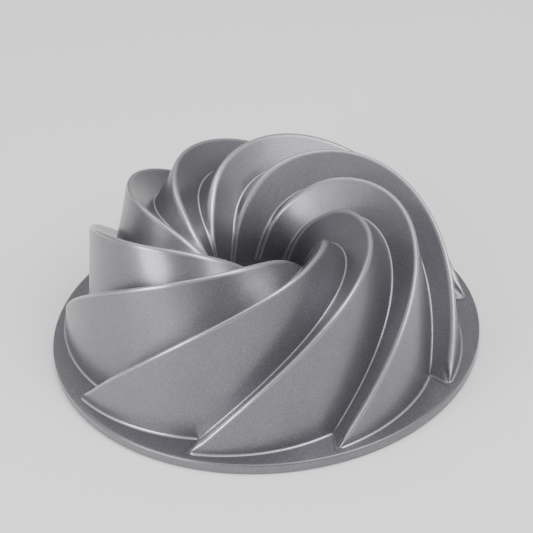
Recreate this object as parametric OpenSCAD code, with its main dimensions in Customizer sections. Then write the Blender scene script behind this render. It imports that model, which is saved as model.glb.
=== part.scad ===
// Swirl ring-cake pan in cast aluminium, standing mouth down on its rim.
// The origin is at the centre of the rim's underside and the crown points up.
// Each flute is a steep outer flank and a shallow inner step that meet at a crest.
// The crest and the groove under it both wind inwards from the flange to the throat.

/* [Rim] */
// Diameter across the outside of the rim
rim_diameter = 265; // [263:1:300]
// Height of the rim's edge above what the pan stands on
rim_height = 7; // [5:0.5:10]
// Radial width of the thickened rim edge
rim_edge = 3.5; // [2:0.5:4]
// Radius on the corners of the rim edge
rim_round = 1.2; // [0.5:0.1:1.5]
// Thickness of the flat flange
flange_thickness = 3; // [2:0.5:4]

/* [Casting] */
// Number of flutes round the pan
flute_count = 9; // [8:1:10]
// Wall thickness of the flutes and the tube
wall = 3; // [2:0.25:3.5]
// Reach of the rounding on each side of a crest
crest_blend = 4; // [2:0.5:6]
// How far the flange outline bows out between two flute tips
flange_bow = 1; // [0:0.25:2]

/* [Crest] */
// Radius of the crest where it leaves the flange, at the flute's tip
crest_tip_radius = 127.5; // [126:0.5:128]
// Radius of the crest at its highest point
crest_crown_radius = 72; // [70:0.5:74]
// Height of the crest's line at its highest point, before it is rounded
crest_crown_height = 99.5; // [94:0.5:106]
// Turn of the crest from the tip to its highest point, in degrees
crest_crown_turn = 85.5; // [82:0.5:88]
// Turn of the crest from the tip to the throat, in degrees
crest_throat_turn = 165; // [162:1:168]
// Radius lost per degree of turn at the tip
crest_tip_draw = 0.49; // [0.45:0.01:0.6]
// Radius lost per degree of turn at the highest point
crest_crown_draw = 0.93; // [0.88:0.01:0.97]
// Radius lost per degree of turn at the throat
crest_throat_draw = 0.15; // [0.1:0.01:0.3]
// Height gained per degree of turn at the tip
crest_tip_climb = 2.45; // [2.2:0.01:2.6]
// Height lost per degree of turn at the throat
crest_throat_fall = 1.4; // [1.2:0.01:1.6]

/* [Groove] */
// Radius of the groove where it leaves the flange
groove_tip_radius = 113.2; // [112:0.1:115]
// Radius of the groove at its highest point
groove_crown_radius = 64; // [62:0.5:66]
// Height of the groove at its highest point
groove_crown_height = 81.2; // [78:0.2:84]
// Turn of the groove from the flange to its highest point, in degrees
groove_crown_turn = 73; // [71:1:75]
// Turn of the groove from the flange to the throat, in degrees
groove_throat_turn = 130; // [127:1:131]
// Turn between a flute's tip and the start of the groove beside it, in degrees
groove_lead = 1; // [0.5:0.1:1.5]
// Radius lost per degree of turn at the flange
groove_tip_draw = 0.55; // [0.5:0.01:0.6]
// Radius lost per degree of turn at the highest point
groove_crown_draw = 0.88; // [0.85:0.01:0.92]
// Height gained per degree of turn at the flange
groove_tip_climb = 2.05; // [1.95:0.01:2.15]
// Height lost per degree of turn at the throat
groove_throat_fall = 1.5; // [1.3:0.05:1.7]

/* [Tube] */
// Radius of the open centre where the flutes end
throat_radius = 26; // [25:0.5:27]
// Height of the throat, where the flutes end and the plain tube begins
throat_height = 40; // [36:1:44]
// Radius of the hole at the tube's open end
mouth_radius = 20; // [18:0.5:22]
// Length of the straight hole at the tube's open end
mouth_length = 8; // [5:0.5:12]
// Clearance under the tube's open end
mouth_clearance = 3; // [2:0.5:6]

/* [Hidden] */
$fn = 180;
ROWS = 40;
FLANK_PANELS = 2;
STEP_PANELS = 4;
STEP_INNER_PANELS = 3;
// Columns on each half of a rounded crest, before its panels start
CREST_COLUMNS = 2;
// Largest share of a face that the rounding of its crest takes
BLEND_SHARE = 0.4;
// Share of a face that is read to find how it leaves one of its edges
NEAR = 0.05;
// Width in mm that a face narrowed to a point is taken to have
LEAST_WIDTH = 0.001;
PITCH = 360 / flute_count;
RIM_RADIUS = rim_diameter / 2;
FLANGE_RADIUS = RIM_RADIUS - rim_edge;
FLANGE_UNDERSIDE = rim_height - flange_thickness;
BASE_TURN = PITCH + groove_lead;
BASE_ROWS = round(BASE_TURN * ROWS / crest_throat_turn);
GROOVE_ROWS = ROWS - BASE_ROWS;
GROOVE_END = groove_lead + groove_throat_turn;
COAT = [0.45, 0.45, 0.46];
COAT_SHADE = [0.38, 0.38, 0.40];

FLUTES = [for (k = [1:flute_count]) k];

// ---- Small vector helpers ----

function unit(v) = v / norm(v);
function polar(radius, angle, height) = [radius * cos(angle), radius * sin(angle), height];
function turned(v, angle) = [
    v.x * cos(angle) - v.y * sin(angle),
    v.x * sin(angle) + v.y * cos(angle),
    v.z
];
function at_height(v, height) = [v.x, v.y, height];

// ---- The two winding lines that shape a flute ----

// Cubic curve over one span, from given values and slopes at its two ends
function span(t, width, start, end, slope_in, slope_out) =
    (1 + 2 * t) * (1 - t) ^ 2 * start + t * (1 - t) ^ 2 * width * slope_in
    + t ^ 2 * (3 - 2 * t) * end + t ^ 2 * (t - 1) * width * slope_out;

// Two spans that share their middle station, read at an angle
function two_spans(angle, middle, last, values, slopes) =
    angle < middle
    ? span(angle / middle, middle, values[0], values[1], slopes[0], slopes[1])
    : span((angle - middle) / (last - middle), last - middle,
        values[1], values[2], slopes[1], slopes[2]);

function crest_at(angle) = polar(
    two_spans(angle, crest_crown_turn, crest_throat_turn,
        [crest_tip_radius, crest_crown_radius, throat_radius],
        [-crest_tip_draw, -crest_crown_draw, -crest_throat_draw]),
    angle,
    two_spans(angle, crest_crown_turn, crest_throat_turn,
        [rim_height, crest_crown_height, throat_height],
        [crest_tip_climb, 0, -crest_throat_fall])
);

function groove_at(angle) = polar(
    two_spans(angle, groove_crown_turn, groove_throat_turn,
        [groove_tip_radius, groove_crown_radius, throat_radius],
        [-groove_tip_draw, -groove_crown_draw, 0]),
    angle + groove_lead,
    two_spans(angle, groove_crown_turn, groove_throat_turn,
        [rim_height, groove_crown_height, throat_height],
        [groove_tip_climb, 0, -groove_throat_fall])
);

// Foot of a flank on the flange, from the flute's tip (t = 0) to the next groove (t = 1)
function base_at(t) = polar(
    crest_tip_radius + (groove_tip_radius - crest_tip_radius) * t + flange_bow * 4 * t * (1 - t),
    BASE_TURN * t,
    rim_height
);

// ---- Stations along one flute whose tip is at angle 0 ----

CREST = [for (i = [0:ROWS]) crest_at(crest_throat_turn * i / ROWS)];
GROOVE = [for (j = [0:GROOVE_ROWS]) groove_at(groove_throat_turn * j / GROOVE_ROWS)];
BASE = [for (i = [0:BASE_ROWS]) base_at(i / BASE_ROWS)];

// Groove station that each crest station is joined to across the step
function groove_station(i) =
    let (share = i / ROWS, lag = 1 - groove_throat_turn / crest_throat_turn)
    round(GROOVE_ROWS * (share - lag * share ^ 3) / (1 - lag));
STATION = [for (i = [0:ROWS]) groove_station(i)];
// First row that is joined to the same groove station as row i, and to groove station j
function first_row(i) = i > 0 && STATION[i - 1] == STATION[i] ? first_row(i - 1) : i;
ROW_OF_STATION = [for (i = [0:ROWS]) if (first_row(i) == i) i];

FLANK_FOOT = [for (i = [0:ROWS])
    i <= BASE_ROWS ? BASE[i] : turned(GROOVE[i - BASE_ROWS], PITCH)];
STEP_FOOT = [for (i = [0:ROWS]) GROOVE[STATION[i]]];

// ---- Outer skin: the crest is rounded, then the surface runs to its foot ----

function straight(a, b, t) = a + (b - a) * t;

// Way from one point to another that turns about the pan's axis at an even rate
function sweep(a, b, t) =
    let (angle_a = atan2(a.y, a.x), angle_b = atan2(b.y, b.x))
    polar(
        norm([a.x, a.y]) * (1 - t) + norm([b.x, b.y]) * t,
        angle_a * (1 - t) + angle_b * t,
        a.z * (1 - t) + b.z * t
    );
function across_flank(i, t) = straight(CREST[i], FLANK_FOOT[i], t);
function across_step(i, t) = i == 0
    ? straight(CREST[0], STEP_FOOT[0], t)
    : sweep(CREST[i], STEP_FOOT[i], t);

function width(i, foot) = max(norm(foot[i] - CREST[i]), LEAST_WIDTH);
function blend_reach(i) =
    min(crest_blend, BLEND_SHARE * width(i, FLANK_FOOT), BLEND_SHARE * width(i, STEP_FOOT));
function flank_blend(i) = i == 0 ? 0 : blend_reach(i) / width(i, FLANK_FOOT);
function step_blend(i) = i == 0 ? 0 : blend_reach(i) / width(i, STEP_FOOT);

// Rounded crest from the flank's side (t = 0) to the step's side (t = 1)
function rounded_crest(i, t) =
    (1 - t) ^ 2 * across_flank(i, flank_blend(i))
    + 2 * t * (1 - t) * CREST[i]
    + t ^ 2 * across_step(i, step_blend(i));

function flank_row(i) = concat(
    [rounded_crest(i, 0.5), rounded_crest(i, 0.25)],
    [for (c = [0:FLANK_PANELS])
        across_flank(i, flank_blend(i) + (1 - flank_blend(i)) * c / FLANK_PANELS)]
);
function step_row(i) = concat(
    [rounded_crest(i, 0.5), rounded_crest(i, 0.75)],
    [for (c = [0:STEP_PANELS])
        across_step(i, step_blend(i) + (1 - step_blend(i)) * c / STEP_PANELS)]
);
FLANK_COLUMNS = CREST_COLUMNS + FLANK_PANELS + 1;
STEP_COLUMNS = CREST_COLUMNS + STEP_PANELS + 1;

// ---- Inner skin: every face set back by the wall ----

// Direction along a line of stations
function along(line, i) = line[min(i + 1, len(line) - 1)] - line[max(i - 1, 0)];

// Outward normals of a flank and of a step, beside the crest and beside the groove
function flank_normal(i, line) = unit(cross(
    i == 0 ? BASE[1] - BASE[0] : FLANK_FOOT[i] - CREST[i],
    along(line, i)
));
function step_normal(i) = unit(cross(along(CREST, i), across_step(i, NEAR) - CREST[i]));
function step_foot_normal(j) =
    let (i = ROW_OF_STATION[j])
    unit(cross(along(GROOVE, j), STEP_FOOT[i] - across_step(i, 1 - NEAR)));

// Shift that sets two meeting faces back by the wall together
function mitre(n1, n2) = -wall * (n1 + n2) / (1 + n1 * n2);

// The same, with the shifted point kept level with the underside of the flange
function mitre_on_flange(n1, n2) =
    let (
        right_1 = -wall + n1.z * flange_thickness,
        right_2 = -wall + n2.z * flange_thickness,
        spread = n1.x * n2.y - n1.y * n2.x
    )
    [
        (right_1 * n2.y - n1.y * right_2) / spread,
        (n1.x * right_2 - right_1 * n2.x) / spread,
        -flange_thickness
    ];

// A flank's foot on the flange, set back level with the flange's underside
function base_set_back(n) =
    let (level = unit([n.x, n.y, 0]), reach = (wall - n.z * flange_thickness) / norm([n.x, n.y]))
    -level * reach - [0, 0, flange_thickness];

function inner_crest(i) =
    i == 0 ? CREST[0] + mitre_on_flange(flank_normal(0, CREST), step_normal(0))
    : i == ROWS ? polar(throat_radius + wall, crest_throat_turn, throat_height)
    : CREST[i] + mitre(flank_normal(i, CREST), step_normal(i));

function inner_groove(j) =
    let (n1 = turned(flank_normal(j + BASE_ROWS, FLANK_FOOT), -PITCH), n2 = step_foot_normal(j))
    j == 0 ? GROOVE[0] + mitre_on_flange(n1, n2)
    : j == GROOVE_ROWS ? polar(throat_radius + wall, GROOVE_END, throat_height)
    : GROOVE[j] + mitre(n1, n2);

INNER_CREST = [for (i = [0:ROWS]) inner_crest(i)];
INNER_GROOVE = [for (j = [0:GROOVE_ROWS]) inner_groove(j)];
INNER_FLANK_FOOT = [for (i = [0:ROWS])
    i == 0 ? INNER_CREST[0]
    : i < BASE_ROWS ? BASE[i] + base_set_back(flank_normal(i, BASE))
    : turned(INNER_GROOVE[i - BASE_ROWS], PITCH)];

function inner_flank_row(i) = [INNER_CREST[i], INNER_FLANK_FOOT[i]];
function inner_step_row(i) = [for (c = [0:STEP_INNER_PANELS])
    i == 0
    ? straight(INNER_CREST[0], INNER_GROOVE[0], c / STEP_INNER_PANELS)
    : sweep(INNER_CREST[i], INNER_GROOVE[STATION[i]], c / STEP_INNER_PANELS)];

// ---- Closed shells ----

// Numbers of a shell's points row by row, outer skin and then inner skin.
// Where several rows or columns meet in one point they share its number.
FLANK_SKIN = [for (i = [0:ROWS]) [for (c = [0:FLANK_COLUMNS - 1])
    i * FLANK_COLUMNS + (i == 0 ? 0 : c)]];
FLANK_INSIDE_START = (ROWS + 1) * FLANK_COLUMNS;
FLANK_INSIDE = [for (i = [0:ROWS]) [for (c = [0:1])
    FLANK_INSIDE_START + i * 2 + (i == 0 ? 0 : c)]];
FLANK_UNDER = FLANK_INSIDE_START + (ROWS + 1) * 2;

STEP_SKIN = [for (i = [0:ROWS]) [for (c = [0:STEP_COLUMNS - 1])
    c == STEP_COLUMNS - 1 ? first_row(i) * STEP_COLUMNS + c
    : i * STEP_COLUMNS + (i == 0 && c <= CREST_COLUMNS ? 0 : c)]];
STEP_INSIDE_START = (ROWS + 1) * STEP_COLUMNS;
STEP_INSIDE = [for (i = [0:ROWS]) [for (c = [0:STEP_INNER_PANELS])
    STEP_INSIDE_START + (c == STEP_INNER_PANELS ? first_row(i) : i) * (STEP_INNER_PANELS + 1) + c]];
STEP_UNDER = STEP_INSIDE_START + (ROWS + 1) * (STEP_INNER_PANELS + 1);

function distinct(t) = t[0] != t[1] && t[1] != t[2] && t[2] != t[0];
function quad(a, b, c, d) = [for (t = [[a, b, c], [a, c, d]]) if (distinct(t)) t];
function fan(hub, rim) = [for (i = [0:len(rim) - 2])
    let (t = [hub, rim[i], rim[i + 1]]) if (distinct(t)) t];
function flipped(faces) = [for (f = faces) [f[2], f[1], f[0]]];
function part_of(list, first, last) = [for (i = [first:last]) list[i]];
function last_of(list) = list[len(list) - 1];

// Both skins and the joint under the crest
function common_faces(outer, inner) = concat(
    [for (i = [0:ROWS - 1], c = [0:len(outer[0]) - 2]) each quad(
        outer[i][c], outer[i][c + 1], outer[i + 1][c + 1], outer[i + 1][c])],
    [for (i = [0:ROWS - 1], c = [0:len(inner[0]) - 2]) each quad(
        inner[i + 1][c], inner[i + 1][c + 1], inner[i][c + 1], inner[i][c])],
    [for (i = [0:ROWS - 1]) each quad(
        outer[i][0], outer[i + 1][0], inner[i + 1][0], inner[i][0])]
);

// Joint along the groove between two rows
function foot_faces(outer, inner, first, last) = [for (i = [first:last - 1]) each flipped(quad(
    last_of(outer[i]), last_of(outer[i + 1]), last_of(inner[i + 1]), last_of(inner[i])))];

function flank_faces() =
    let (foot = FLANK_COLUMNS - 1)
    flipped(concat(
        common_faces(FLANK_SKIN, FLANK_INSIDE),
        foot_faces(FLANK_SKIN, FLANK_INSIDE, BASE_ROWS, ROWS),
        // against the flange, and level with its underside
        [for (i = [0:BASE_ROWS - 1]) each flipped(quad(FLANK_SKIN[i][foot],
            FLANK_SKIN[i + 1][foot], FLANK_UNDER + i + 1, FLANK_UNDER + i))],
        [for (i = [0:BASE_ROWS - 1]) each flipped(quad(FLANK_UNDER + i,
            FLANK_UNDER + i + 1, FLANK_INSIDE[i + 1][1], FLANK_INSIDE[i][1]))],
        [[FLANK_SKIN[0][0], FLANK_INSIDE[0][0], FLANK_UNDER]],
        [[FLANK_SKIN[BASE_ROWS][foot], FLANK_UNDER + BASE_ROWS, FLANK_INSIDE[BASE_ROWS][1]]],
        // against the tube
        fan(FLANK_INSIDE[ROWS][0], FLANK_SKIN[ROWS]),
        [[FLANK_SKIN[ROWS][foot], FLANK_INSIDE[ROWS][1], FLANK_INSIDE[ROWS][0]]]
    ));

// Columns of the outer skin that the columns of the inner skin are joined to at the tube
TUBE_COLUMNS = [0, 3, 5, STEP_COLUMNS - 1];

function step_faces() =
    let (row = STEP_SKIN[0], foot = last_of(STEP_SKIN[0]), tip_under = STEP_UNDER + 1)
    concat(
        common_faces(STEP_SKIN, STEP_INSIDE),
        foot_faces(STEP_SKIN, STEP_INSIDE, 0, ROWS),
        // against the flange's short radial edge, and level with its underside
        fan(tip_under, concat([STEP_UNDER], [for (c = [STEP_COLUMNS - 1:-1:CREST_COLUMNS]) row[c]],
            STEP_INSIDE[0], [STEP_UNDER])),
        [[foot, STEP_UNDER, last_of(STEP_INSIDE[0])]],
        // against the tube
        [for (c = [0:STEP_INNER_PANELS - 1])
            let (outer = part_of(STEP_SKIN[ROWS], TUBE_COLUMNS[c], TUBE_COLUMNS[c + 1]))
            each concat(
                fan(STEP_INSIDE[ROWS][c], outer),
                [[last_of(outer), STEP_INSIDE[ROWS][c + 1], STEP_INSIDE[ROWS][c]]]
            )]
    );

// ---- Parts ----

module flute_flank(k) {
    under = [for (i = [0:BASE_ROWS]) at_height(BASE[i], FLANGE_UNDERSIDE)];
    color(COAT)
        rotate([0, 0, PITCH * (k - 1)])
            polyhedron(
                points = concat(
                    [for (i = [0:ROWS]) each flank_row(i)],
                    [for (i = [0:ROWS]) each inner_flank_row(i)],
                    under),
                faces = flank_faces());
}

module flute_step(k) {
    under = [for (p = [GROOVE[0], CREST[0]]) at_height(p, FLANGE_UNDERSIDE)];
    color(COAT_SHADE)
        rotate([0, 0, PITCH * (k - 1)])
            polyhedron(
                points = concat(
                    [for (i = [0:ROWS]) each step_row(i)],
                    [for (i = [0:ROWS]) each inner_step_row(i)],
                    under),
                faces = step_faces());
}

// Flat flange with a saw-toothed opening that follows the feet of the flutes
module rim_flange() {
    opening = [for (k = FLUTES, i = [0:BASE_ROWS])
        let (p = turned(BASE[i], PITCH * (k - 1))) [p.x, p.y]];
    color(COAT)
        translate([0, 0, FLANGE_UNDERSIDE])
            linear_extrude(flange_thickness)
                difference() {
                    circle(r = FLANGE_RADIUS);
                    polygon(opening);
                }
}

// Thick outer edge that the pan stands on
module rim_edge_bead() {
    color(COAT)
        rotate_extrude()
            union() {
                translate([FLANGE_RADIUS, 0])
                    square([rim_edge - rim_round, rim_height]);
                translate([FLANGE_RADIUS, rim_round])
                    square([rim_edge, rim_height - 2 * rim_round]);
                for (height = [rim_round, rim_height - rim_round])
                    translate([RIM_RADIUS - rim_round, height])
                        circle(r = rim_round, $fn = 48);
            }
}

// Plain tapered tube below the throat, open right through
module centre_tube() {
    straight_top = mouth_clearance + mouth_length;
    color(COAT_SHADE)
        rotate_extrude()
            polygon([
                [throat_radius, throat_height],
                [throat_radius + wall, throat_height],
                [mouth_radius + wall, mouth_clearance],
                [mouth_radius, mouth_clearance],
                [mouth_radius, straight_top]
            ]);
}

rim_edge_bead();
rim_flange();
centre_tube();
for (k = FLUTES) {
    flute_flank(k);
    flute_step(k);
}
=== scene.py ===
"""Looks of a cast aluminium swirl ring-cake pan that stands mouth down on its rim."""

import math

import bpy
import numpy as np
from mathutils import Matrix, Vector


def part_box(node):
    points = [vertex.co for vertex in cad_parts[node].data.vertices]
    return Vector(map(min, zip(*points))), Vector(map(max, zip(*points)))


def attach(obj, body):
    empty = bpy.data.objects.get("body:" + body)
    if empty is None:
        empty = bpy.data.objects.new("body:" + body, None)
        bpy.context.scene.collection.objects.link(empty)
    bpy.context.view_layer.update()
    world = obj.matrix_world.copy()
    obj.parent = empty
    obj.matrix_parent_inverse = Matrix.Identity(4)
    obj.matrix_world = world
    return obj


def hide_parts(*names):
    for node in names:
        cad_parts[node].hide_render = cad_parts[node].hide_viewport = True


bl_info = {
    "name": "Swirl Ring-Cake Pan",
    "version": (1, 0, 0),
    "blender": (4, 5, 0),
    "location": "View3D > Sidebar > Cake Pan",
    "description": "Builds the flutes, flange, rim and tube of a cast ring-cake pan",
    "category": "Add Mesh",
}

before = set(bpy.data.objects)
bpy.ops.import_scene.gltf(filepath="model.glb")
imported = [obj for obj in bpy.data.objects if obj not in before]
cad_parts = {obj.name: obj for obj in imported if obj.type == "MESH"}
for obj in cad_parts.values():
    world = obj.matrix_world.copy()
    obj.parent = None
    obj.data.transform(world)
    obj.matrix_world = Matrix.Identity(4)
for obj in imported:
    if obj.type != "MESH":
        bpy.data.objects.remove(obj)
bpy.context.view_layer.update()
MM = 0.001
BODY = "root"
FLUTES = sum(name.startswith("flute_flank_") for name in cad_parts)
PITCH = math.tau / FLUTES
_, BEAD_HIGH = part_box("rim_edge_bead")
FLANGE_LOW, FLANGE_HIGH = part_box("rim_flange")
TUBE_LOW, TUBE_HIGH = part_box("centre_tube")
RIM_RADIUS = BEAD_HIGH[0]
FLANGE_RADIUS = FLANGE_HIGH[0]
FLANGE_TOP = FLANGE_HIGH[2]
FLANGE_UNDERSIDE = FLANGE_LOW[2]
THROAT_HEIGHT = TUBE_HIGH[2]

# Rows along a flute and columns across it
COARSE_ROWS = 40
PARTS = 4
CREST_COLUMNS = 6
PANEL_COLUMNS = 8
FILLET_COLUMNS = 3
# How much closer together the columns beside a crest are
PANEL_POWER = 1.4
# Rows of the first coarse row, and rows in front of a flute's short edge
TIP_ROWS = 12
EDGE_ROWS = 3
EDGE_TAPER = 1.5 * MM
# Depth over which the blunting of a tip fades, in radii of the tip
BLUNT_FADE = 4
# Share of a face that the rounding of its crest or of its foot takes at most
CREST_LIMIT = 0.4
FOOT_LIMIT = 0.3
# Share of a face that is read to find how it leaves one of its edges
NEAR = 0.05
CORNER_SHARE = 0.02
FOOT_SHARE = 0.96
WELD = 1e-6


# ---- Sizes and colours ----


def length(name, description, millimetres):
    """A size in metres whose default is given in millimetres."""
    return bpy.props.FloatProperty(
        name=name, description=description, default=millimetres * MM, unit="LENGTH", precision=4
    )


def turn(name, description, degrees):
    """An angle whose default is given in degrees."""
    return bpy.props.FloatProperty(
        name=name, description=description, default=math.radians(degrees), subtype="ANGLE"
    )


def rate(name, description, millimetres):
    """A change of size per degree of turn, with its default in millimetres per degree."""
    return bpy.props.FloatProperty(
        name=name, description=description, default=millimetres * MM / math.radians(1), precision=4
    )


def colour(name, description, red, green, blue):
    """A linear colour."""
    return bpy.props.FloatVectorProperty(
        name=name, description=description, default=(red, green, blue), subtype="COLOR", size=3
    )


def amount(name, description, default):
    """A plain number."""
    return bpy.props.FloatProperty(name=name, description=description, default=default)


class FluteSizes(bpy.types.PropertyGroup):
    """The two winding lines of a flute, and how its edges are rounded."""

    wall: length("Wall", "Thickness of the casting", 3)
    tip_radius: length("Tip radius", "Radius of a flute's tip on the flange", 127.5)
    crown_radius: length("Crown radius", "Radius of the crest at its highest", 72)
    crown_height: length("Crown height", "Height of the crest's line at its highest", 99.5)
    crown_turn: turn("Crown turn", "Turn of the crest from its tip to its highest", 85.5)
    throat_turn: turn("Throat turn", "Turn of the crest from its tip to the throat", 165)
    tip_draw: rate("Tip draw", "Radius that the crest loses per degree at its tip", 0.49)
    crown_draw: rate("Crown draw", "Radius that the crest loses per degree at its highest", 0.93)
    throat_draw: rate("Throat draw", "Radius that the crest loses per degree at the throat", 0.15)
    tip_climb: rate("Tip climb", "Height that the crest gains per degree at its tip", 2.45)
    throat_fall: rate("Throat fall", "Height that the crest loses per degree at the throat", 1.4)
    groove_radius: length("Groove radius", "Radius of a groove where it leaves the flange", 113.2)
    groove_crown_radius: length("Groove crown radius", "Radius of a groove at its highest", 64)
    groove_crown_height: length("Groove crown height", "Height of a groove at its highest", 81.2)
    groove_crown_turn: turn("Groove crown turn", "Turn of a groove to its highest", 73)
    groove_throat_turn: turn("Groove throat turn", "Turn of a groove to the throat", 130)
    groove_lead: turn("Groove lead", "Turn from a flute's tip to its groove", 1)
    groove_tip_draw: rate("Groove draw", "Radius a groove loses per degree at the flange", 0.55)
    groove_crown_draw: rate("Groove crown draw", "Radius a groove loses per degree on top", 0.88)
    groove_climb: rate("Groove climb", "Height that a groove gains per degree at the flange", 2.05)
    groove_fall: rate("Groove fall", "Height that a groove loses per degree at the throat", 1.5)
    flange_bow: length("Flange bow", "How far a flank's foot bows outwards between tips", 1)
    throat_radius: length("Throat radius", "Radius of the open centre", 26)
    crest_blend: length("Crest blend", "Reach of the rounding beside a crest", 4)
    fillet: length("Fillet", "Reach of the small fillet in a groove", 0.9)
    foot_fillet: length("Foot fillet", "Reach of the small fillet along a flank's foot", 1.2)
    edge_fillet: length("Edge fillet", "Height of the small fillet along a flute's short edge", 1)
    nose: length("Nose", "Radius of a flute's tip seen from above", 2.5)
    rim_round: length("Rim round", "Radius on the corners of the rim edge", 1.2)
    mouth_radius: length("Mouth radius", "Radius of the hole at the tube's open end", 20)
    mouth_length: length("Mouth length", "Length of the straight hole at the open end", 8)
    inner_blend: length("Inner blend", "Reach of the rounding on the inner ridges", 2.5)


class FinishSizes(bpy.types.PropertyGroup):
    """Colour and sheen of the metallic coat."""

    coat: colour("Coat", "Colour of the coat", 0.168, 0.161, 0.178)
    coat_deep: colour("Coat deep", "Colour of the coat where it is thick", 0.139, 0.133, 0.148)
    flake: colour("Flake", "Colour of the metal flakes in the coat", 0.64, 0.63, 0.68)
    roughness: amount("Roughness", "Roughness of the coat", 0.365)
    # Strength of the painted highlight that lightens the coat's colour along crests and in fillets.
    painted_highlight_strength: amount("Polish", "How bright the coat is worn on crests and in fillets", 0.5)
    gloss: amount("Gloss", "Strength of the clear top layer", 0.3)
    gloss_roughness: amount("Gloss roughness", "Roughness of the clear top layer", 0.17)
    floor: colour("Floor", "Colour of the floor", 0.92, 0.92, 0.92)


# Soft boxes that shape the pan: turn about it and height above the floor in degrees, and watts.
SHAPING_BOXES = {
    "key_box": (210, 12, 25),
    "high_right_box": (315, 60, 13),
    "top_box": (0, 88, 6),
    "right_box": (315, 35, 5),
    "high_back_box": (135, 60, 3),
    "left_box": (195, 35, 2),
    "side_box": (345, 35, 2),
}
# Rings of weak boxes that fill the shadows: number, turn of the first, height and watts.
FILL_RINGS = ((12, 0, 35, 0.6), (8, 22.5, 60, 0.9))
BOX_SIDE = 0.75
BOX_DISTANCE = 1.6

# Sizes of the patterns in the coat
CLOUD_SIZE = 18 * MM
WAVE_SIZE = 30 * MM
PEEL_SIZE = 1.6 * MM
GRAIN_SIZE = 0.5 * MM
FLAKE_SIZE = 0.4 * MM


class StageSizes(bpy.types.PropertyGroup):
    """Where the camera stands."""

    distance: length("Distance", "Distance of the camera from its aim", 1255)
    aim_height: length("Aim height", "Height of the point that the camera is aimed at", 40)
    azimuth: turn("Azimuth", "Turn of the camera about the pan", -6.93)
    elevation: turn("Elevation", "Height of the camera above the horizon", 35.56)
    roll: turn("Roll", "Turn of the camera about its own axis", -3.8)
    lens: amount("Lens", "Focal length in millimetres on a 36 mm sensor", 138.3)
    shift_x: amount("Shift X", "Sideways shift of the lens", 0.0073)
    shift_y: amount("Shift Y", "Upward shift of the lens", 0.031)
    light: amount("Light", "How far the soft boxes are turned up", 0.9)
    sky: amount("Sky", "Strength of the even light from all around", 0.35)


# ---- The winding lines ----


def span(t, width, start, end, slope_in, slope_out):
    """Cubic curve over one span, from given values and slopes at its two ends."""
    leave = (1 + 2 * t) * (1 - t) ** 2 * start + t * (1 - t) ** 2 * width * slope_in
    arrive = t**2 * (3 - 2 * t) * end + t**2 * (t - 1) * width * slope_out
    return leave + arrive


def two_spans(angle, middle, last, values, slopes):
    """Two spans that share their middle station, read at an array of angles."""
    low = span(angle / middle, middle, values[0], values[1], slopes[0], slopes[1])
    rest = last - middle
    high = span((angle - middle) / rest, rest, values[1], values[2], slopes[1], slopes[2])
    return np.where(angle < middle, low, high)


def polar(radius, angle, height):
    """Points from radius, angle and height."""
    radius, angle, height = np.broadcast_arrays(radius, angle, height)
    return np.stack([radius * np.cos(angle), radius * np.sin(angle), height], axis=-1)


def turned(points, angle):
    """Points or directions turned about the pan's axis."""
    cos, sin = math.cos(angle), math.sin(angle)
    return points @ np.array([[cos, sin, 0], [-sin, cos, 0], [0, 0, 1]])


def unit(vectors):
    """Directions of length one; a zero vector stays zero."""
    size = np.linalg.norm(vectors, axis=-1, keepdims=True)
    return vectors / np.maximum(size, 1e-12)


def lengths(vectors):
    """Length of each vector, kept as a column."""
    return np.linalg.norm(vectors, axis=-1, keepdims=True)


def crest_at(sizes, shares):
    """Points on the crest at shares of its whole turn."""
    angle = shares * sizes.throat_turn
    stations = (sizes.crown_turn, sizes.throat_turn)
    radius = two_spans(
        angle,
        *stations,
        (sizes.tip_radius, sizes.crown_radius, sizes.throat_radius),
        (-sizes.tip_draw, -sizes.crown_draw, -sizes.throat_draw),
    )
    height = two_spans(
        angle,
        *stations,
        (FLANGE_TOP, sizes.crown_height, THROAT_HEIGHT),
        (sizes.tip_climb, 0, -sizes.throat_fall),
    )
    return polar(radius, angle, height)


def groove_at(sizes, shares):
    """Points on the groove at shares of its whole turn."""
    angle = shares * sizes.groove_throat_turn
    stations = (sizes.groove_crown_turn, sizes.groove_throat_turn)
    radius = two_spans(
        angle,
        *stations,
        (sizes.groove_radius, sizes.groove_crown_radius, sizes.throat_radius),
        (-sizes.groove_tip_draw, -sizes.groove_crown_draw, 0),
    )
    height = two_spans(
        angle,
        *stations,
        (FLANGE_TOP, sizes.groove_crown_height, THROAT_HEIGHT),
        (sizes.groove_climb, 0, -sizes.groove_fall),
    )
    return polar(radius, angle + sizes.groove_lead, height)


def base_at(sizes, shares):
    """Points on a flank's foot along the flange, from its tip to the next groove."""
    radius = sizes.tip_radius + (sizes.groove_radius - sizes.tip_radius) * shares
    bow = sizes.flange_bow * 4 * shares * (1 - shares)
    return polar(radius + bow, (PITCH + sizes.groove_lead) * shares, FLANGE_TOP)


class Lines:
    """Crest, base and groove of one flute whose tip is at angle 0, each from outside inwards."""

    def __init__(self, crest, base, groove):
        self.crest = crest
        self.base = base
        self.groove = groove


def read(line, shares):
    """Points at shares of a smooth line that runs through evenly shared points."""
    slope = np.gradient(line, axis=0)
    place = shares * (len(line) - 1)
    first = np.minimum(place.astype(int), len(line) - 2)
    t = (place - first)[:, None]
    return span(t, 1, line[first], line[first + 1], slope[first], slope[first + 1])


def base_rows(sizes, rows):
    """How many of the rows along a flank have their foot on the flange."""
    coarse = round((PITCH + sizes.groove_lead) * COARSE_ROWS / sizes.throat_turn)
    return coarse * rows // COARSE_ROWS


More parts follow.
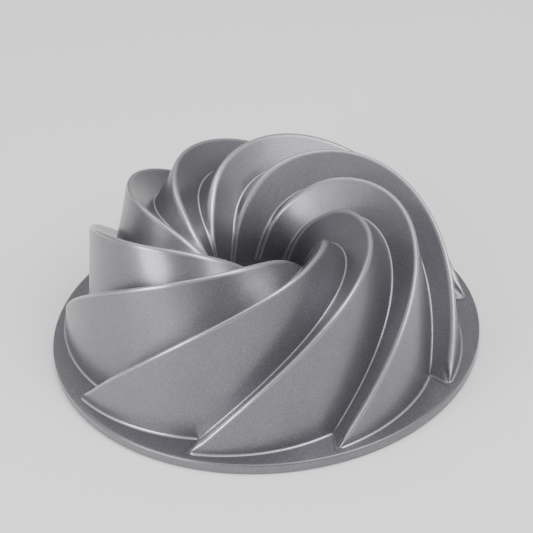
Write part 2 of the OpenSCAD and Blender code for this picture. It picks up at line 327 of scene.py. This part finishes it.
def row_shares(sizes):
    """Shares of the rows along a flute, closer beside its tip, and the last row on the flange."""
    tip = 1 / COARSE_ROWS
    shares = np.concatenate([
        np.linspace(0, tip, TIP_ROWS, endpoint=False),
        np.linspace(tip, 1, (COARSE_ROWS - 1) * PARTS + 1),
    ])
    return shares, TIP_ROWS + (base_rows(sizes, COARSE_ROWS) - 1) * PARTS


def groove_shares(sizes, shares):
    """Shares of the groove that shares of the crest are joined to across the step."""
    lag = 1 - sizes.groove_throat_turn / sizes.throat_turn
    return (shares - lag * shares**3) / (1 - lag)


def outer_lines(sizes, rows):
    """Lines of the outer skin."""
    low = base_rows(sizes, rows)
    return Lines(
        crest_at(sizes, np.linspace(0, 1, rows + 1)),
        base_at(sizes, np.linspace(0, 1, low + 1)),
        groove_at(sizes, np.linspace(0, 1, rows - low + 1)),
    )


def round_to(start, end, t):
    """Points between two others that turn about the pan's axis at an even rate."""
    radius = [np.hypot(points[..., 0], points[..., 1]) for points in (start, end)]
    angle = [np.arctan2(points[..., 1], points[..., 0]) for points in (start, end)]
    height = start[..., 2] + (end[..., 2] - start[..., 2]) * t
    return polar(
        radius[0] + (radius[1] - radius[0]) * t, angle[0] + (angle[1] - angle[0]) * t, height
    )


def level_mitre(first, second, wall, drop):
    """Shift that sets two meeting faces back by the wall and ends a drop lower."""
    levels = np.array([first[:2], second[:2]])
    shifts = [-wall + first[2] * drop, -wall + second[2] * drop]
    return np.append(np.linalg.solve(levels, shifts), -drop)


def inner_lines(sizes):
    """Lines of the inner skin, which lies a wall's thickness inside the outer one."""
    rows = COARSE_ROWS
    low = base_rows(sizes, rows)
    lines = outer_lines(sizes, rows)
    wall, drop = sizes.wall, FLANGE_TOP - FLANGE_UNDERSIDE
    shares = np.linspace(0, 1, rows + 1)
    flank_foot = np.concatenate([lines.base[:-1], turned(lines.groove, PITCH)])
    step_foot = read(lines.groove, groove_shares(sizes, shares))
    down_flank = flank_foot - lines.crest
    down_flank[0] = flank_foot[1] - flank_foot[0]
    leave_crest = round_to(lines.crest, step_foot, NEAR) - lines.crest
    joined = np.interp(np.linspace(0, 1, rows - low + 1), groove_shares(sizes, shares), shares)
    joined_crest = read(lines.crest, joined)
    reach_groove = lines.groove - round_to(joined_crest, lines.groove, 1 - NEAR)

    def mitred(line, first, second):
        facing = (first * second).sum(axis=-1, keepdims=True)
        moved = line - wall * (first + second) / (1 + facing)
        moved[0] = line[0] + level_mitre(first[0], second[0], wall, drop)
        return moved

    along_crest, along_groove = np.gradient(lines.crest, axis=0), np.gradient(lines.groove, axis=0)
    beside_foot = unit(np.cross(down_flank, np.gradient(flank_foot, axis=0)))
    crest = mitred(
        lines.crest,
        unit(np.cross(down_flank, along_crest)),
        unit(np.cross(along_crest, leave_crest)),
    )
    groove = mitred(
        lines.groove, turned(beside_foot[low:], -PITCH), unit(np.cross(along_groove, reach_groove))
    )
    inner_radius = sizes.throat_radius + wall
    crest[-1] = polar(inner_radius, sizes.throat_turn, THROAT_HEIGHT)
    groove[-1] = polar(inner_radius, sizes.groove_lead + sizes.groove_throat_turn, THROAT_HEIGHT)
    level = beside_foot[: low + 1] * (1, 1, 0)
    reach = (wall - beside_foot[: low + 1, 2:] * drop) / lengths(level)
    base = lines.base - unit(level) * reach - (0, 0, drop)
    base[0] = crest[0]
    base[-1] = turned(groove[0], PITCH)
    return Lines(crest, base, groove)


# ---- Rounded skins ----


def straight_to(start, end, t):
    """Points on the straight way between two others."""
    return start + (end - start) * t


def half_net(crest, foot, other, beyond, crest_reach, foot_reach, foot_end, way):
    """Points from the middle of the crest down to the foot, row by row."""
    width = np.maximum(lengths(foot - crest), 1e-9)
    top, low = crest_reach / width, 1 - foot_reach / width
    start, end = way(crest, foot, top[:, 0]), way(crest, foot, low[:, 0])
    across = crest + unit(other - crest) * crest_reach
    out = foot + unit(beyond - foot) * foot_reach

    def bend(t, first, corner, last):
        return (1 - t) ** 2 * first + 2 * t * (1 - t) * corner + t**2 * last

    columns = [bend(t, start, crest, across) for t in np.linspace(0.5, 0, CREST_COLUMNS + 1)]
    for t in np.linspace(0, 1, PANEL_COLUMNS + 1)[1:] ** PANEL_POWER:
        columns.append(way(crest, foot, (top + (low - top) * t)[:, 0]))
    for t in np.linspace(0, 1, FILLET_COLUMNS + 1)[1:]:
        columns.append(bend(t * foot_end, end, foot, out))
    return np.stack(columns, axis=1)


def skin(sizes, lines, crest_blend, groove_blend, foot_blend):
    """Net of points over one flute, from its step's foot over the crest to its flank's foot."""
    shares, low = row_shares(sizes)
    leave = shares[low]
    own = groove_shares(sizes, shares)
    next_groove = (shares[low:] - leave) / (1 - leave)
    crest = read(lines.crest, shares)
    base = read(lines.base, shares[: low + 1] / leave)
    flank_foot = np.concatenate([base[:-1], turned(read(lines.groove, next_groove), PITCH)])
    step_foot = read(lines.groove, own)
    narrower = np.minimum(lengths(flank_foot - crest), lengths(step_foot - crest))
    crest_reach = np.minimum(crest_blend, CREST_LIMIT * narrower)

    def groove_reach(share):
        return groove_blend * np.clip(share / CORNER_SHARE, 0, 1)[:, None]

    outwards = unit(np.cross(np.gradient(base, axis=0), (0, 0, 1)))
    next_crest = read(lines.crest, np.interp(next_groove, own, shares))
    flank_beyond = np.concatenate([(base + outwards)[:-1], turned(next_crest, PITCH)])
    share = shares[:low] / leave
    base_reach = foot_blend * np.clip(np.minimum(share, 1 - share) * 2 / CORNER_SHARE, 0, 1)
    base_reach = np.minimum(base_reach[:, None], FOOT_LIMIT * lengths(flank_foot - crest)[:low])
    flank = half_net(
        crest, flank_foot, step_foot, flank_beyond, crest_reach,
        np.concatenate([base_reach, groove_reach(next_groove)]),
        np.where(np.arange(len(shares))[:, None] < low, 1.0, 0.5),
        lambda start, end, t: straight_to(start, end, t[:, None]),
    )
    last_crest = read(lines.crest, np.minimum(leave + own * (1 - leave), 1.0))
    step = half_net(
        crest, step_foot, flank_foot, turned(last_crest, -PITCH), crest_reach,
        groove_reach(own), 0.5, round_to,
    )
    return np.concatenate([step[:, :0:-1], flank], axis=1)


def with_edge(net, lines, reach):
    """Net with rows in front of a flute's short edge, which run out smoothly on the flange."""
    middle = net.shape[1] // 2
    tip, corner = net[0, middle], net[0, 0]
    away = np.linalg.norm(net[0] - corner, axis=-1)
    share = (away / np.linalg.norm(tip - corner))[:, None]
    leave_crest, leave_groove = lines.crest[1] - lines.crest[0], lines.groove[1] - lines.groove[0]
    back = leave_groove + (leave_crest - leave_groove) * share
    back *= reach / back[:, 2:] * np.clip(away / EDGE_TAPER, 0, 1)[:, None]
    steps = np.linspace(1, 0, EDGE_ROWS, endpoint=False)
    net = np.concatenate([net[0] - back * steps[:, None, None], net])
    rise = net[..., 2] - FLANGE_TOP
    soft = (np.maximum(rise + reach, 0)) ** 2 / (4 * reach)
    flank = np.clip((np.arange(net.shape[1]) - middle) / middle, 0, 1)
    kept = np.clip(away / EDGE_TAPER, 0, 1) * (1 - flank)
    lifted = np.where(rise < reach, soft, rise)
    net[..., 2] = FLANGE_TOP + kept * lifted + (1 - kept) * np.maximum(rise, 0)
    return net


def blunt(net, tip, along_base, along_edge, reach):
    """Net whose sharp corner at a flute's tip is drawn back to an arc, seen from above."""
    inwards = unit(unit(along_base) + unit(along_edge))
    beside = np.array([-inwards[1], inwards[0], 0])
    sine = abs(np.dot(unit(along_edge), beside))
    cosine = math.sqrt(1 - sine**2)
    depth, side = (net - tip) @ inwards, np.abs((net - tip) @ beside)
    bow = np.sqrt(np.maximum(reach**2 - side**2, 0))
    drawn = np.where(side < reach * cosine, reach / sine - bow - side * cosine / sine, 0)
    fade = np.clip(1 - (depth - reach) / (BLUNT_FADE * reach), 0, 1)
    return net + inwards * (drawn * fade)[..., None]


def net_normals(net):
    """Outward direction at each point of a net."""
    across = np.gradient(net, axis=1, edge_order=2)
    along = np.gradient(net, axis=0, edge_order=2)
    normals = unit(np.cross(across, along))
    middle = net.shape[1] // 2
    tip = np.argmax(lengths(net[:, -1] - net[:, middle])[:, 0] > 1e-5)
    normals[:tip, middle:] = normals[tip, middle:]
    return normals


# ---- Meshes ----


class Shell:
    """Collects faces, with the direction each corner shades to, and makes one piece of them."""

    def __init__(self):
        self.points = []
        self.highlight_and_gloss = []
        self.faces = []
        self.shades = []
        self.count = 0

    def add(self, points, highlight_and_gloss=0):
        """Adds points, each with a share of painted highlight and lowered roughness, and gives
        their numbers in the same layout.
        """
        points = np.asarray(points, float)
        self.highlight_and_gloss.append(np.broadcast_to(highlight_and_gloss, points.shape[:-1]).reshape(-1))
        numbers = np.arange(self.count, self.count + points[..., 0].size).reshape(points.shape[:-1])
        self.points.append(points.reshape(-1, 3))
        self.count += numbers.size
        return numbers

    def quads(self, corners, shades=None):
        """Adds faces from an array of four numbers each."""
        self.faces.append(corners.reshape(-1, 4))
        shades = np.zeros(corners.shape + (3,)) if shades is None else shades
        self.shades.append(shades.reshape(-1, 4, 3))

    def net(self, numbers, normals=None, inside=False):
        """Faces over a net of numbers; the inside of a shell faces the other way."""
        shifts = (slice(None, -1), slice(None, -1)), (slice(None, -1), slice(1, None))
        shifts += (slice(1, None), slice(1, None)), (slice(1, None), slice(None, -1))
        shifts = shifts[::-1] if inside else shifts
        corners = np.stack([numbers[shift] for shift in shifts], axis=-1)
        if normals is not None:
            normals = np.stack([normals[shift] for shift in shifts], axis=-2)
            normals = -normals if inside else normals
        self.quads(corners, normals)

    def strip(self, first, second, normals=None):
        """Faces between two lines of numbers."""
        self.net(np.stack([first, second], axis=1), normals)

    def build(self, name, sharp=30):
        """Welds the points and links the piece to the scene."""
        points = np.concatenate(self.points)
        keys = np.round(points / WELD).astype(np.int64)
        _, first, number = np.unique(keys, axis=0, return_index=True, return_inverse=True)
        faces = number.reshape(-1)[np.concatenate(self.faces)]
        kept = faces != np.roll(faces, 1, axis=1)
        shades = np.concatenate(self.shades)
        solid = kept.sum(axis=1) >= 3
        faces, kept, shades = faces[solid], kept[solid], shades[solid]
        mesh = bpy.data.meshes.new(name)
        mesh.from_pydata(points[first].tolist(), [], [f[k].tolist() for f, k in zip(faces, kept)])
        mesh.validate()
        mesh.polygons.foreach_set("use_smooth", [True] * len(mesh.polygons))
        mesh.set_sharp_from_angle(angle=math.radians(sharp))
        loops = shades[kept]
        if np.abs(loops).sum() > 0:
            mesh.normals_split_custom_set(loops.tolist())
        # Per-point share of painted highlight on the colour and of lowered roughness, read by the
        # coat's material.
        highlight_and_gloss = mesh.attributes.new("highlight_and_gloss", "FLOAT", "POINT")
        highlight_and_gloss.data.foreach_set("value", np.concatenate(self.highlight_and_gloss)[first].astype(np.float32))
        mesh.update()
        piece = bpy.data.objects.new(name, mesh)
        bpy.context.scene.collection.objects.link(piece)
        return piece


def lathe(name, profile, around, sharp=30):
    """A ring turned from a closed profile of radius and height points."""
    angles = np.linspace(0, math.tau, around, endpoint=False)
    radius, height = np.array(profile).T
    net = polar(radius[None, :], angles[:, None], height[None, :])
    shell = Shell()
    numbers = shell.add(net)
    numbers = np.concatenate([numbers, numbers[:1]])
    numbers = np.concatenate([numbers, numbers[:, :1]], axis=1)
    shell.net(numbers)
    return shell.build(name, sharp)


def arc(centre, reach, start, end, parts):
    """Points on an arc of a profile."""
    angles = np.linspace(math.radians(start), math.radians(end), parts + 1)
    return [(centre[0] + reach * math.cos(a), centre[1] + reach * math.sin(a)) for a in angles]


def stand_for(piece, material, slot, *nodes):
    """Gives a piece its finish and lets it stand for its CAD nodes."""
    piece.data.materials.append(material)
    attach(piece, BODY)
    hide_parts(*nodes)


# ---- Finishes ----


class Wire:
    """A shader socket that arithmetic works on."""

    def __init__(self, finish, socket):
        self.finish = finish
        self.socket = socket

    def math(self, operation, *values):
        """A Math node that starts with this socket."""
        inputs = dict(enumerate((self, *values)))
        return self.finish.node("ShaderNodeMath", {"operation": operation}, inputs)

    def __add__(self, other):
        return self.math("ADD", other)

    def __radd__(self, other):
        return self.math("ADD", other)

    def __sub__(self, other):
        return self.math("SUBTRACT", other)

    def __rsub__(self, other):
        return (self * -1.0).math("ADD", other)

    def __mul__(self, other):
        return self.math("MULTIPLY", other)

    def __rmul__(self, other):
        return self.math("MULTIPLY", other)

    def ramp(self, low, high):
        """0 below the low value, 1 above the high one, and smooth between."""
        settings = {"interpolation_type": "SMOOTHSTEP"}
        inputs = {"Value": self, "From Min": low, "From Max": high}
        return self.finish.node("ShaderNodeMapRange", settings, inputs)


class Finish:
    """A material whose nodes are added one expression at a time."""

    def __init__(self, name):
        self.material = bpy.data.materials.new(name)
        self.material.use_nodes = True
        self.nodes = self.material.node_tree.nodes
        self.links = self.material.node_tree.links
        self.nodes.clear()
        self.output = self.nodes.new("ShaderNodeOutputMaterial")

    def node(self, kind, settings, inputs, output=0):
        """A node with its settings, then the values or links of its sockets."""
        node = self.nodes.new(kind)
        for name, value in settings.items():
            setattr(node, name, value)
        for name, value in inputs.items():
            if isinstance(value, Wire):
                self.links.new(value.socket, node.inputs[name])
            else:
                node.inputs[name].default_value = value
        return Wire(self, node.outputs[output])

    def place(self):
        """Where a point lies in the pan, in metres."""
        return self.node("ShaderNodeTexCoord", {}, {}, "Object")

    def noise(self, place, size, detail=2.0, roughness=0.5):
        """Cloudy noise whose lumps are about the given size."""
        inputs = {"Vector": place, "Scale": 1 / size, "Detail": detail, "Roughness": roughness}
        return self.node("ShaderNodeTexNoise", {}, inputs, "Fac")

    def blend(self, factor, first, second):
        """One colour over another."""
        inputs = {0: factor, 6: first, 7: second}
        return self.node("ShaderNodeMix", {"data_type": "RGBA"}, inputs, 2)

    def bump(self, height, distance, strength, below=None):
        """Relief from a height, over an optional coarser relief."""
        inputs = {"Height": height, "Distance": distance, "Strength": strength}
        if below is not None:
            inputs["Normal"] = below
        return self.node("ShaderNodeBump", {}, inputs)

    def surface(self, inputs):
        """The shader, joined to the output."""
        shader = self.node("ShaderNodeBsdfPrincipled", {}, inputs)
        self.links.new(shader.socket, self.output.inputs["Surface"])
        return self.material


def opaque(colour):
    """A colour with full alpha."""
    return (*colour, 1.0)


def coat_finish(sizes):
    """Satin metallic coat over a cast surface, with fine flakes, a slight orange peel, and a
    painted highlight that lightens the colour along crests and in fillets.
    """
    name = "metallic_coat"
    if name in bpy.data.materials:
        return bpy.data.materials[name]
    finish = Finish(name)
    place = finish.place()
    cloud = finish.noise(place, CLOUD_SIZE, 3.0)
    grain = finish.noise(place, GRAIN_SIZE, 2.0, 0.6)
    flake = finish.noise(place, FLAKE_SIZE, 1.0).ramp(0.54, 0.74)
    # Painted highlight: along crests and in fillets the colour is lightened towards the flake
    # colour, and the roughness there is also lowered.
    highlight_and_gloss = finish.node("ShaderNodeAttribute", {"attribute_name": "highlight_and_gloss"}, {}, "Fac")
    tone = finish.blend(cloud, opaque(sizes.coat), opaque(sizes.coat_deep))
    colour = finish.blend(flake * 0.3, tone, opaque(sizes.flake))
    # Painted highlight, lightening the colour towards the flake colour along crests and fillets.
    colour = finish.blend(highlight_and_gloss * sizes.painted_highlight_strength, colour, opaque(sizes.flake))
    peel = finish.noise(place, PEEL_SIZE, 2.0)
    wave = finish.noise(place, WAVE_SIZE, 1.0)
    relief = finish.bump(wave, 0.4 * MM, 0.5)
    relief = finish.bump(peel, 0.03 * MM, 0.6, relief)
    relief = finish.bump(grain, 0.02 * MM, 0.6, relief)
    inputs = {
        "Base Color": colour,
        "Metallic": 0.7,
        "Coat Weight": sizes.gloss,
        "Coat Roughness": sizes.gloss_roughness,
        "Roughness": sizes.roughness + (cloud - 0.5) * 0.08 + (grain - 0.5) * 0.1 - highlight_and_gloss * 0.14,
        "Normal": relief,
    }
    return finish.surface(inputs)


# ---- Operators ----


class PAN_OT_flutes(bpy.types.Operator):
    """Makes the nine flutes, each a steep flank and a shallow step under one rounded crest"""

    bl_idname = "cake_pan.flutes"
    bl_label = "Flutes"

    def execute(self, context):
        sizes = context.scene.pan_flutes
        outer, inner = flute_skins(sizes)
        outer_normals, inner_normals = net_normals(outer), net_normals(inner[EDGE_ROWS:])
        inner_normals = np.concatenate([inner_normals[:1]] * EDGE_ROWS + [inner_normals])
        rim_out, rim_in = border(outer), border(inner)
        for k in range(FLUTES):
            angle = k * PITCH
            shell = Shell()
            # The outer skin carries the painted highlight share along its crest and in its fillets.
            shell.net(shell.add(turned(outer, angle), crest_highlight_share()), turned(outer_normals, angle))
            shell.net(shell.add(turned(inner, angle)), turned(inner_normals, angle), inside=True)
            first, second = shell.add(turned(rim_in, angle)), shell.add(turned(rim_out, angle))
            shell.strip(first, second)
            piece = shell.build(f"flute_{k + 1}")
            nodes = f"flute_flank_{k + 1}", f"flute_step_{k + 1}"
            stand_for(piece, coat_finish(context.scene.pan_finish), "flank_coat", *nodes)
        return {"FINISHED"}


def flute_skins(sizes):
    """Nets of the outer and the inner skin of one flute."""
    lines = outer_lines(sizes, COARSE_ROWS * PARTS)
    outer = skin(sizes, lines, sizes.crest_blend, sizes.fillet, sizes.foot_fillet)
    outer = with_edge(outer, lines, sizes.edge_fillet)
    level = np.array([1, 1, 0])
    along_base, along_edge = lines.base[1] - lines.base[0], lines.groove[0] - lines.crest[0]
    outer = blunt(outer, lines.crest[0] * level, along_base * level, along_edge * level, sizes.nose)
    inner = skin(sizes, inner_lines(sizes), sizes.inner_blend, sizes.inner_blend, 0)
    return outer, np.concatenate([inner[:1]] * EDGE_ROWS + [inner])


def crest_highlight_share():
    """Share of painted highlight and of lowered roughness in each column of a net: on the crest and
    in the fillets.
    """
    crest = 1 - (np.arange(CREST_COLUMNS + PANEL_COLUMNS) / CREST_COLUMNS) ** 2
    half = np.concatenate([np.maximum(crest, 0), np.ones(FILLET_COLUMNS + 1)])
    half[-FILLET_COLUMNS - 1] = 0
    return np.concatenate([half[:0:-1], half])


def border(net):
    """The closed line round a net."""
    return np.concatenate([net[0, :-1], net[:-1, -1], net[-1, :0:-1], net[::-1, 0]])


class PAN_OT_flange(bpy.types.Operator):
    """Makes the flat flange, whose saw-toothed opening follows the feet of the flutes"""

    bl_idname = "cake_pan.flange"
    bl_label = "Flange"

    def execute(self, context):
        sizes = context.scene.pan_flutes
        shares, low = row_shares(sizes)
        middle = CREST_COLUMNS + PANEL_COLUMNS + FILLET_COLUMNS
        rows = EDGE_ROWS + low
        outlines = []
        for net in flute_skins(sizes):
            foot, radial = net[: rows + 1, -1], turned(net[0, : middle + 1], PITCH)
            tooth = np.concatenate([foot[:-1], radial[:-1]])
            outlines.append(np.concatenate([turned(tooth, k * PITCH) for k in range(FLUTES)]))
        share = np.concatenate([
            np.zeros(EDGE_ROWS),
            shares[:low] / shares[low] * FOOT_SHARE,
            np.linspace(FOOT_SHARE, 1, middle, endpoint=False),
        ])
        angles = np.concatenate([(share + k) * PITCH for k in range(FLUTES)])
        rings = [
            outlines[0],
            polar(FLANGE_RADIUS, angles, FLANGE_TOP),
            polar(FLANGE_RADIUS, angles, FLANGE_UNDERSIDE),
            outlines[1],
        ]
        shell = Shell()
        numbers = np.stack([shell.add(ring) for ring in rings + rings[:1]], axis=1)
        numbers = np.concatenate([numbers, numbers[:1]])
        shell.net(numbers[:, ::-1])
        piece = shell.build("flange")
        stand_for(piece, coat_finish(context.scene.pan_finish), "rim_coat", "rim_flange")
        return {"FINISHED"}


class PAN_OT_rim(bpy.types.Operator):
    """Makes the thick rounded edge that the pan stands on"""

    bl_idname = "cake_pan.rim"
    bl_label = "Rim edge"

    def execute(self, context):
        reach = context.scene.pan_flutes.rim_round
        outside = RIM_RADIUS - reach
        profile = [(FLANGE_RADIUS, FLANGE_TOP), (FLANGE_RADIUS, 0)]
        profile += arc((outside, reach), reach, -90, 0, 8)
        profile += arc((outside, FLANGE_TOP - reach), reach, 0, 90, 8)
        piece = lathe("rim_edge", profile, 288)
        stand_for(piece, coat_finish(context.scene.pan_finish), "rim_coat", "rim_edge_bead")
        return {"FINISHED"}


class PAN_OT_tube(bpy.types.Operator):
    """Makes the plain tapered tube below the throat, open right through"""

    bl_idname = "cake_pan.tube"
    bl_label = "Centre tube"

    def execute(self, context):
        sizes = context.scene.pan_flutes
        low = TUBE_LOW[2]
        profile = [
            (sizes.throat_radius, THROAT_HEIGHT),
            (sizes.mouth_radius, low + sizes.mouth_length),
            (sizes.mouth_radius, low),
            (sizes.mouth_radius + sizes.wall, low),
            (sizes.throat_radius + sizes.wall, THROAT_HEIGHT),
        ]
        piece = lathe("centre_tube_wall", profile, 192)
        stand_for(piece, coat_finish(context.scene.pan_finish), "tube_coat", "centre_tube")
        return {"FINISHED"}


class PAN_OT_stage(bpy.types.Operator):
    """Makes the pale floor, the soft lights and the camera"""

    bl_idname = "cake_pan.stage"
    bl_label = "Stage"

    def execute(self, context):
        scene = context.scene
        sizes = scene.pan_stage
        mesh = bpy.data.meshes.new("floor")
        side = 6.0
        corners = [(-side, -side, 0), (side, -side, 0), (side, side, 0), (-side, side, 0)]
        mesh.from_pydata(corners, [], [(0, 1, 2, 3)])
        floor = bpy.data.objects.new("floor", mesh)
        scene.collection.objects.link(floor)
        finish = Finish("pale_floor")
        mottle = finish.noise(finish.place(), 0.4, 2.0)
        pale = opaque(scene.pan_finish.floor)
        colour = finish.blend(mottle, pale, tuple(0.97 * part for part in pale[:3]) + (1.0,))
        mesh.materials.append(finish.surface({"Base Color": colour, "Roughness": 0.7}))

        world = bpy.data.worlds.new("studio")
        world.use_nodes = True
        background = world.node_tree.nodes["Background"]
        background.inputs["Color"].default_value = (1.0, 1.0, 1.0, 1.0)
        background.inputs["Strength"].default_value = sizes.sky
        scene.world = world
        for name, place in SHAPING_BOXES.items():
            soft_box(scene, name, *place)
        for count, first, height, power in FILL_RINGS:
            for k in range(count):
                name = f"fill_box_{height}_{k + 1}"
                soft_box(scene, name, first + 360 * k / count, height, power)

        camera = bpy.data.cameras.new("camera")
        camera.lens = sizes.lens
        camera.sensor_width = 36.0
        camera.shift_x, camera.shift_y = sizes.shift_x, sizes.shift_y
        camera.clip_end = 20.0
        stand = bpy.data.objects.new("camera", camera)
        scene.collection.objects.link(stand)
        stand.matrix_world = (
            Matrix.Rotation(sizes.azimuth, 4, "Z")
            @ Matrix.Translation((0, 0, sizes.aim_height))
            @ Matrix.Rotation(math.pi / 2 - sizes.elevation, 4, "X")
            @ Matrix.Translation((0, 0, sizes.distance))
            @ Matrix.Rotation(sizes.roll, 4, "Z")
        )
        scene.camera = stand
        return {"FINISHED"}


def soft_box(scene, name, turn_about, height, power):
    """A square soft box that faces the pan from a turn about it and a height above the floor."""
    light = bpy.data.lights.new(name, "AREA")
    light.shape = "SQUARE"
    light.size = BOX_SIDE
    light.energy = power * scene.pan_stage.light
    lamp = bpy.data.objects.new(name, light)
    scene.collection.objects.link(lamp)
    lamp.visible_camera = False
    lamp.matrix_world = (
        Matrix.Rotation(math.radians(turn_about), 4, "Z")
        @ Matrix.Rotation(math.radians(90 - height), 4, "Y")
        @ Matrix.Translation((0, 0, BOX_DISTANCE))
    )


class PAN_PT_pieces(bpy.types.Panel):
    """Lists the pieces and their sizes"""

    bl_idname = "PAN_PT_pieces"
    bl_label = "Cake Pan"
    bl_space_type = "VIEW_3D"
    bl_region_type = "UI"
    bl_category = "Cake Pan"

    def draw(self, context):
        for operator in PIECES:
            self.layout.operator(operator.bl_idname)
        for name in SETTINGS:
            group = getattr(context.scene, name)
            for field in group.bl_rna.properties:
                if field.identifier not in ("rna_type", "name"):
                    self.layout.prop(group, field.identifier)


PIECES = (PAN_OT_flutes, PAN_OT_flange, PAN_OT_rim, PAN_OT_tube, PAN_OT_stage)
SETTINGS = {"pan_flutes": FluteSizes, "pan_finish": FinishSizes, "pan_stage": StageSizes}


def register():
    """Adds the classes and the sizes."""
    for item in (*SETTINGS.values(), *PIECES, PAN_PT_pieces):
        bpy.utils.register_class(item)
    for name, group in SETTINGS.items():
        setattr(bpy.types.Scene, name, bpy.props.PointerProperty(type=group))


def unregister():
    """Takes the sizes and the classes away again."""
    for name in SETTINGS:
        delattr(bpy.types.Scene, name)
    for item in (PAN_PT_pieces, *reversed(PIECES), *SETTINGS.values()):
        bpy.utils.unregister_class(item)


def main():
    """Builds every piece and the stage."""
    register()
    bpy.ops.cake_pan.flutes()
    bpy.ops.cake_pan.flange()
    bpy.ops.cake_pan.rim()
    bpy.ops.cake_pan.tube()
    bpy.ops.cake_pan.stage()


if __name__ == "__main__":
    main()
